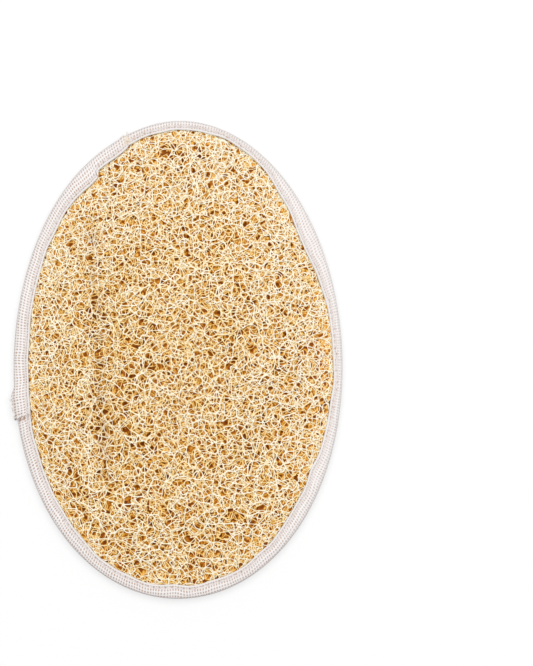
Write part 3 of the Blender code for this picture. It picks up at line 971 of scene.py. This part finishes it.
def tape_control(theta, over):
    """Insets and heights of the points that the tape's outside passes, back edge first.

    over is 1 for the upper end of the lap and 0 for the tape that runs under it.
    """
    lap = lap_share(theta) * over
    rise = tape_rise(theta, lap)
    back, seam = round_the_rim(BACK_WIDTH, theta), round_the_rim(BACK_SEAM, theta)
    face = face_edge(theta)

    def out(inset):
        return inset - LAP_OUT * lap**3 * max(0.0, 1 - inset / LAP_REACH)

    def low(inset, deep=0.0):
        return inset, under_cloth(theta, inset) - TAPE_THICK + deep

    def high(inset, lift):
        return inset, over_mat(theta, inset) + TAPE_THICK + lift

    near, far = REST_FACE
    crown = np.minimum(near, face - HEM - 1.0 * MM)
    return stacked(theta, [
        low(back, 0.1 * MM),
        low(back - 0.5 * MM, -0.05 * MM),
        low((back + seam) / 2, -0.12 * MM),
        low(seam + SEAM_HALF),
        low(seam, SEAM_DEEP),
        low(seam - SEAM_HALF),
        (far, 0.0),
        (near, 0.0),
        (out(RIM_ROUND), RIM_LOW),
        (out(0.0), RIM_MIDDLE),
        (out(RIM_ROUND), RIM_HIGH + rise),
        high(crown, rise),
        high(face - HEM - 0.55 * MM, rise + 0.03 * MM),
        high(face - HEM, rise - 0.8 * SEAM_DEEP),
        high(face - 0.55 * HEM, rise - 0.05 * MM),
        high(face - 0.1 * MM, rise - 0.15 * MM),
        high(face, rise - TAPE_EDGE * 0.8),
    ])


def through(control, steps):
    """A smooth curve through the second axis of control points."""
    before = np.concatenate([2 * control[:, :1] - control[:, 1:2], control[:, :-2]], axis=1)
    first, second = control[:, :-1], control[:, 1:]
    after = np.concatenate([control[:, 2:], 2 * control[:, -1:] - control[:, -2:-1]], axis=1)
    t = (np.arange(steps) / steps)[None, None, :, None]
    a, b, c, d = (p[:, :, None] for p in (before, first, second, after))
    curve = 0.5 * (
        2 * b + (c - a) * t + (2 * a - 5 * b + 4 * c - d) * t**2 + (3 * b - a - 3 * c + d) * t**3
    )
    curve = curve.reshape(len(control), -1, 2)
    return np.concatenate([curve, control[:, -1:]], axis=1)


def tape_outside(theta, over):
    """Points of the tape's outside at even steps, from the face edge round to the back."""
    curves = through(tape_control(theta, over), CURVE_STEPS)[:, ::-1]
    steps = np.linalg.norm(np.diff(curves, axis=1), axis=2)
    gone = np.pad(np.cumsum(steps, axis=1), ((0, 0), (1, 0)))
    front = np.arange(FACE_ROWS) * TAPE_PITCH[1] / PER_PITCH
    back_share = np.arange(1, BACK_ROWS + 1) / BACK_ROWS
    section = []
    for curve, far in zip(curves, gone):
        wanted = np.concatenate([front, front[-1] + (far[-1] - front[-1]) * back_share])
        section.append([np.interp(wanted, far, way) for way in curve.T])
    return np.moveaxis(section, 1, 2)


def tape_inside(theta):
    """The hidden inside of the folded tape, from its back edge round to its face edge."""
    back, face = round_the_rim(BACK_WIDTH, theta), face_edge(theta)
    lows = (back - 0.05 * MM, (back + 4 * MM) / 2, 2.0 * MM)
    highs = (2.0 * MM, (face + 2 * MM) / 2, face - 0.05 * MM)
    return stacked(theta, [
        *((inset, under_cloth(theta, inset)) for inset in lows),
        (TAPE_THICK, RIM_MIDDLE),
        *((inset, over_mat(theta, inset)) for inset in highs),
    ])


def tape_surface(theta, column, row, past, knit):
    """Insets and heights of the tape's outside, with its eyelets, rungs and frayed rim."""
    section = np.where(past[..., None], tape_outside(theta, 0.0), tape_outside(theta, 1.0))
    rim = bell(section[..., 1] - RIM_HIGH, FRAY_HALF) * (section[..., 0] < REST_FACE[1])
    section[..., 0] -= fray(theta)[:, None] * rim
    run = unit(np.gradient(section, axis=1))
    outward = np.stack([run[..., 1], -run[..., 0]], axis=-1)
    rung = column % PER_PITCH != 0
    hole = ~rung & (row % PER_PITCH == 0)
    section = section + outward * ((RUNG_HIGH * rung - HOLE_DEEP * hole) * knit)[..., None]
    section[..., 1] = np.maximum(section[..., 1], 0.0)
    return section


def seam_blush(column, row, rng):
    """Warm shade between the hem and the open knit, and darker spots where the needle went in."""
    across = row / PER_PITCH
    band = smooth(0.7, 1.0, across) * (1 - smooth(1.4, 2.0, across))
    stitch = column / STITCH_COLUMNS
    turn = np.floor(stitch + 0.5).astype(int)
    limits = ((0.9, 1.3), (0.2, 1.3), (-0.2, 0.2))
    place, deep, off = (rng.uniform(*pair, turn.max() + 1)[turn] for pair in limits)
    near = bell(stitch - turn - off, 0.17) * bell(across - place, 0.3)
    mottle = rng.uniform(0.0, 0.3, row.shape)
    return np.clip(band * (0.18 + 0.6 * mottle) + 0.75 * deep * near, 0, 1) * (row < FACE_ROWS)


def groove_shade(theta, inset, height, rng):
    """Painted shade in the groove of the back seam, darker where the needle went in."""
    away = inset - round_the_rim(BACK_SEAM, theta)[:, None]
    spots = np.repeat(rng.random(len(theta) // 2 + 1) ** 3, 2)[:len(theta), None]
    return (0.2 + 0.5 * spots) * bell(away, GROOVE_HALF) * (height < RIM_LOW)


def pleat_tan(theta, inset, height):
    """Straw colour that shows through the stretched tape at the pleat."""
    turn = wrapped(theta - PLEAT)[:, None]
    across = bell(inset - 2.2 * MM, 1.1 * MM)
    return 0.75 * bell(turn - 0.004, 0.022) * across * (height > RIM_MIDDLE)


def tape_marks(theta, column, row, past, knit, section, rng):
    """How open the tape's outside is, its pinkish tint with painted shadow and shade, its straw
    colour, and its painted shade round the rim with a greyer hem.
    """
    inset, height = section[..., 0], section[..., 1]
    # Painted shadow on the lower tape just past the lap's upper end, in spots across the rows.
    end = past & ~np.roll(past, 1, axis=0)
    shaded = np.any([np.roll(end, step, axis=0) for step in range(END_COLUMNS)], axis=0)
    spots = np.cos(math.pi * (row / PER_PITCH - 1.1) / 1.3) ** 4 * (height > RIM_HIGH)
    blush_and_shade = np.maximum(seam_blush(column, row, rng), END_SHADE * shaded * spots)
    behind = smooth(RIM_HIGH, RIM_LOW, height)
    # Painted shade along the rolled rim.
    rim = bell(inset, RIM_SHADE_WIDTH) * (height > RIM_LOW)
    hem = HEM_GREY * (1 - smooth(0.6, 0.9, row / PER_PITCH))
    return {
        "open": knit * round_the_rim(EYELETS, theta)[:, None] * (1 - EYELETS_FADE * behind),
        "blush_and_shade": blush_and_shade + groove_shade(theta, inset, height, rng),
        "tan": pleat_tan(theta, inset, height),
        "rim_shade_and_hem_grey": round_the_rim(RIM_SHADE, theta)[:, None] * rim + hem,
    }


def edge_binding(material):
    """The folded tape as one closed ring, finer outside than in."""
    columns = int(round(AROUND / TAPE_PITCH[0])) * PER_PITCH
    rows = FACE_ROWS + BACK_ROWS
    theta = even_turns(columns)
    column, row = np.mgrid[0:columns, 0:rows]
    rng = np.random.default_rng(8)
    rim_x, rim_y = (place[:, None] for place in outline(theta))
    ragged = RAGGED * (np.abs(np.cos(math.pi * row / PER_PITCH)) + rng.uniform(-0.5, 0.5, rows))
    past = (rim_x < 0) & (rim_y < LAP_END - ragged)
    knit = smooth(0.4, 1.0, row / PER_PITCH) * smooth(rows - 1, rows - 3, row)
    section = tape_surface(theta, column, row, past, knit)

    whole = np.concatenate([section, tape_inside(theta)], axis=1)
    x, y = inset_point(theta[:, None], whole[..., 0])
    points = np.stack([x, y, whole[..., 1]], axis=-1)
    index = np.arange(x.size).reshape(x.shape)
    walls = ring_walls(index, np.roll(index, -1, axis=0))

    weave = np.zeros(points.shape)
    weave[..., 0] = np.arange(columns)[:, None] / PER_PITCH
    weave[:, :rows, 1] = row / PER_PITCH
    weave[..., 0] += WEAVE_STRAY * waves(x, y, 5 * MM, rng)
    weave[..., 1] += WEAVE_STRAY * waves(x, y, 7 * MM, rng)
    marks = tape_marks(theta, column, row, past, knit, section, rng)
    hidden = ((0, 0), (0, x.shape[1] - rows))
    shares = [(name, np.pad(share, hidden).ravel()) for name, share in marks.items()]
    new_piece(
        "binding_tape", points.reshape(-1, 3), [walls], material, "edge_binding",
        [("weave", weave.reshape(-1, 3)), *shares],
    )


# Loose thread where the tape was cut

LOOSE_RADIUS = 0.16 * MM
LOOSE_SPOTS = (
    # turn angle, inset, threads, scatter, how far out and how far round they reach, straw share
    (189.3, -0.9, 4, 0.35, 0.55, 1.5, 0.0),
    (191.2, -0.9, 3, 0.35, 0.35, 1.2, 0.0),
    (193.0, -0.5, 4, 0.4, 0.25, 1.2, 0.0),
    (194.1, 0.6, 5, 0.5, -0.2, 1.0, 0.1),
    (193.5, 2.4, 4, 0.9, 0.0, 0.9, 0.2),
    (193.5, 4.2, 3, 0.6, 0.0, 0.9, 0.3),
    (108.6, 0.2, 6, 0.4, 0.9, 0.4, 0.2),
    (109.2, 1.6, 12, 0.9, 0.5, 0.7, 0.9),
    (110.4, 0.6, 5, 0.7, 0.3, 0.9, 0.4),
    (122.6, 4.7, 7, 0.5, -0.6, 0.4, 0.1),
)


def tape_height(theta, inset):
    """The height of the tape's outside near an inset, as far out as its rim."""
    lap = shown_lap(theta)
    near, rim = REST_FACE[0], RIM_HIGH - 0.4 * MM
    high = over_mat(theta, np.maximum(inset, near)) + TAPE_THICK
    share = smooth(-LAP_OUT * lap, near, inset)
    return rim + (high - rim) * share + tape_rise(theta, lap)


def loose_threads(material):
    """Short loops of thread at the lap's end, at the pleat and at the torn corner."""
    rng = np.random.default_rng(17)
    t = np.linspace(0, 1, 8)
    paths, straw = [], []
    for turn, inset, count, scatter_by, out, round_by, straw_share in LOOSE_SPOTS:
        for _ in range(count):
            theta = math.radians(turn) + rng.normal(0, 0.4 * scatter_by) * MM / HALF_LENGTH
            start = (inset + rng.uniform(-1, 1) * scatter_by) * MM
            run = rng.uniform(0.5, 1.1) * round_by * MM / HALF_LENGTH * rng.choice((-1, 1))
            bulge = rng.uniform(0.3, 1.2) * out * MM * np.sin(math.pi * t)
            drift = rng.uniform(-0.5, 0.5) * MM * (t - 0.5)
            turns, insets = theta + run * (t - 0.5), start - bulge + drift
            x, y = inset_point(turns, insets)
            arch = rng.uniform(0, 0.35) * MM * np.sin(math.pi * t)
            z = tape_height(turns, insets) + 0.12 * MM + arch
            paths.append(np.stack([x, y, z], axis=-1))
            straw.append(rng.uniform(0.4, 1.0) * (rng.random() < straw_share))
    paths = np.array(paths)
    points, faces = tubes(paths, np.full(paths.shape[:2], LOOSE_RADIUS), 6)
    tan = [("tan", np.repeat(straw, len(points) // len(paths)))]
    new_piece("loose_threads", points, faces, material, "edge_binding", tan)


# The cloth, the strap and the seam

CLOTH_STEP = 0.58 * MM
CLOTH_HALF = (52 * MM, 77 * MM)
CLOTH_RIM = 260
CLOTH_RINGS = ((6 * MM, 130), (12 * MM, 65), (20 * MM, 52), (35 * MM, 26))
KNIT_PITCH = (1.3 * MM, 1.35 * MM)
KNIT_HOLE = 0.27  # half width of a hole, as a share of the pitch
KNIT_DEEP = 0.2 * MM
STRAP_STATIONS = 200
STRAP_COLUMNS = 36
STRAP_SELVEDGE = 0.2 * MM
STRAP_WEAVE = 0.9 * MM
STITCH = 2.1 * MM
STITCH_STATIONS = 7
STITCH_DIVE = 0.28 * MM
STITCH_STRAY = 0.06 * MM
THREAD_RADIUS = 0.16 * MM
THREAD_PROUD = 0.12 * MM


def backing_cloth():
    """The knitted back: fine underneath, where it shows, and plain over it."""
    even = grid(*CLOTH_HALF, CLOTH_STEP)
    fine, coarse, faces = layer_plans(even, CLOTH_STEP, CLOTH_RIM, CLOTH_RINGS)
    x, y = fine.T
    theta, inset = turn_and_inset(x, y)
    u, v = x / KNIT_PITCH[0], y / KNIT_PITCH[1]
    shift = 0.5 * (np.floor(u + 0.5) % 2)
    near_u = (u + 0.5) % 1 - 0.5
    near_v = (v + shift + 0.5) % 1 - 0.5
    holes = bell(near_u, KNIT_HOLE) * bell(near_v, KNIT_HOLE)
    low = cloth_bottom(x, y) + KNIT_DEEP * holes * smooth(0, 2 * MM, inset - STACK_INSET)
    top = cloth_bottom(*coarse.T) + CLOTH_THICK
    points = np.concatenate([np.column_stack([fine, low]), np.column_stack([coarse, top])])
    upside_down = [np.roll(corners[:, ::-1], 1, axis=1) for corners in faces]
    weave = np.zeros((len(points), 3))
    weave[:len(fine), 0], weave[:len(fine), 1] = v, u
    tan = np.zeros(len(points))
    tan[:len(fine)] = 0.8 * bell(inset - round_the_rim(BACK_WIDTH, theta) - 0.3 * MM, 0.5 * MM)
    return new_piece(
        "knit_back", points, upside_down, cloth_material(), "backing_cloth",
        [("weave", weave), ("tan", tan)],
    )


def strap_bottom(x, y):
    """The height of the strap's underside: sagging where it is free, under the cloth at its ends."""
    free = float(hollow(STRAP_SPAN, strap_line(STRAP_SPAN)))
    share = np.clip(np.abs(x) / STRAP_SPAN, 0, 1)
    span = free - STRAP_SAG * (1 - share**2)
    held = hollow(x, y)
    return 0.5 * (held + span - np.sqrt((held - span) ** 2 + STRAP_CREASE**2))


def hand_strap():
    """A flat elastic with ribs on both sides."""
    x = np.linspace(-STRAP_END, STRAP_END, STRAP_STATIONS)[:, None]
    across = np.linspace(0, 1, STRAP_COLUMNS)[None]
    y = strap_line(x) + STRAP_WIDTH * (across - 0.5)
    free_share = 1 - smooth(STRAP_FREE, STRAP_END, np.abs(x))
    thick = STRAP_THICK[0] + (STRAP_THICK[1] - STRAP_THICK[0]) * free_share
    rib = 0.5 * RIB_HIGH * (1 - np.abs(np.sin(math.pi * STRAP_RIBS * across)) ** 0.5)
    selvedge = STRAP_SELVEDGE * np.abs(2 * across - 1) ** 24
    low = strap_bottom(x, y) + rib + selvedge
    high = low + thick - 2 * (rib + selvedge)
    bottom, top = (np.stack(np.broadcast_arrays(x, y, z), axis=-1) for z in (low, high))
    section = np.concatenate([bottom, top[:, ::-1]], axis=1)
    index = np.arange(section[..., 0].size).reshape(section.shape[:2])
    faces = [ring_walls(index[:-1], index[1:]), index[:1, ::-1], index[-1:]]
    weave = np.zeros(section.shape)
    weave[..., 0] = (x + STRAP_END) / STRAP_WEAVE
    weave[..., 1] = STRAP_RIBS * np.concatenate([across, across[:, ::-1]], axis=1)
    new_piece(
        "elastic_strap", section.reshape(-1, 3), faces, strap_material(), "hand_strap",
        [("weave", weave.reshape(-1, 3))],
    )


def seams():
    """Stitches of both seams as short threads whose ends dive into the tape."""
    material = thread_material()
    count = int(AROUND / STITCH)
    t = np.linspace(0.06, 0.94, STITCH_STATIONS)[None]
    turn = even_turns(count)[:, None] + ROUND / count * t
    stray = STITCH_STRAY * np.random.default_rng(3).normal(0, 1, count)[:, None]
    dive = STITCH_DIVE * np.abs(2 * t - 1) ** 4
    face = face_edge(turn) - HEM + stray
    lift = tape_rise(turn, shown_lap(turn)) + TAPE_THICK - 0.8 * SEAM_DEEP + THREAD_PROUD
    back = round_the_rim(BACK_SEAM, turn) + stray
    drop = TAPE_THICK - SEAM_DEEP + THREAD_PROUD
    for name, node, inset, z in (
        ("face_stitches", "needle_thread", face, over_mat(turn, face) + lift - dive),
        ("back_stitches", "bobbin_thread", back, under_cloth(turn, back) - drop + dive),
    ):
        paths = np.stack([*inset_point(turn, inset), z], axis=-1)
        points, faces = tubes(paths, np.full(z.shape, THREAD_RADIUS), 6)
        new_piece(name, points, faces, material, node)


# Floor, light and camera

PHOTO_WIDTH, PHOTO_HEIGHT = 533, 666
PAD_AT = (178.2, 359.6)
PIXELS_PER_METRE = 2985
CAMERA_HIGH = 0.6
FLOOR_GREY = 0.38
FLOOR_GLOW = 0.49
ROOM_LIGHT = 0.5
KEY_PLACE = (0.1, 0.5, 2.4)
KEY_SIZE = 2.4
KEY_POWER = 62


def stage():
    bpy.ops.mesh.primitive_plane_add(size=6, location=(0, 0, -0.0001))
    floor = bpy.context.object
    floor.name = "floor"
    floor.data.materials.append(shader(
        "floor", Roughness=0.9, Base_Color=(FLOOR_GREY, FLOOR_GREY, FLOOR_GREY, 1),
        Emission_Color=(1, 1, 1, 1), Emission_Strength=FLOOR_GLOW,
    )[0])


def lights():
    world = bpy.data.worlds.new("studio")
    world.use_nodes = True
    background = world.node_tree.nodes["Background"]
    background.inputs["Color"].default_value = (1, 1, 1, 1)
    background.inputs["Strength"].default_value = ROOM_LIGHT
    bpy.context.scene.world = world
    data = bpy.data.lights.new("key", "AREA")
    data.shape = "DISK"
    data.size = KEY_SIZE
    data.energy = KEY_POWER
    lamp = new_object("key", data)
    lamp.location = KEY_PLACE
    lamp.rotation_euler = (-Vector(KEY_PLACE)).to_track_quat("-Z", "Y").to_euler()


def camera():
    data = bpy.data.cameras.new("camera")
    rim_distance = CAMERA_HIGH - RIM_MIDDLE
    half_angle = math.atan(PHOTO_HEIGHT / 2 / (PIXELS_PER_METRE * rim_distance))
    data.lens = data.sensor_width / 2 / math.tan(half_angle)  # its width is the image's height
    data.clip_start = 0.01
    eye = new_object("camera", data)
    x = (PHOTO_WIDTH / 2 - PAD_AT[0]) / PIXELS_PER_METRE
    y = (PAD_AT[1] - PHOTO_HEIGHT / 2) / PIXELS_PER_METRE
    eye.location = (x, y, CAMERA_HIGH)
    bpy.context.scene.camera = eye


stage()
lights()
camera()
bpy.context.scene.view_settings.view_transform = "Standard"
loofah_mat()
tape = tape_material()
edge_binding(tape)
loose_threads(tape)
cloth = backing_cloth()
hand_strap()
seams()
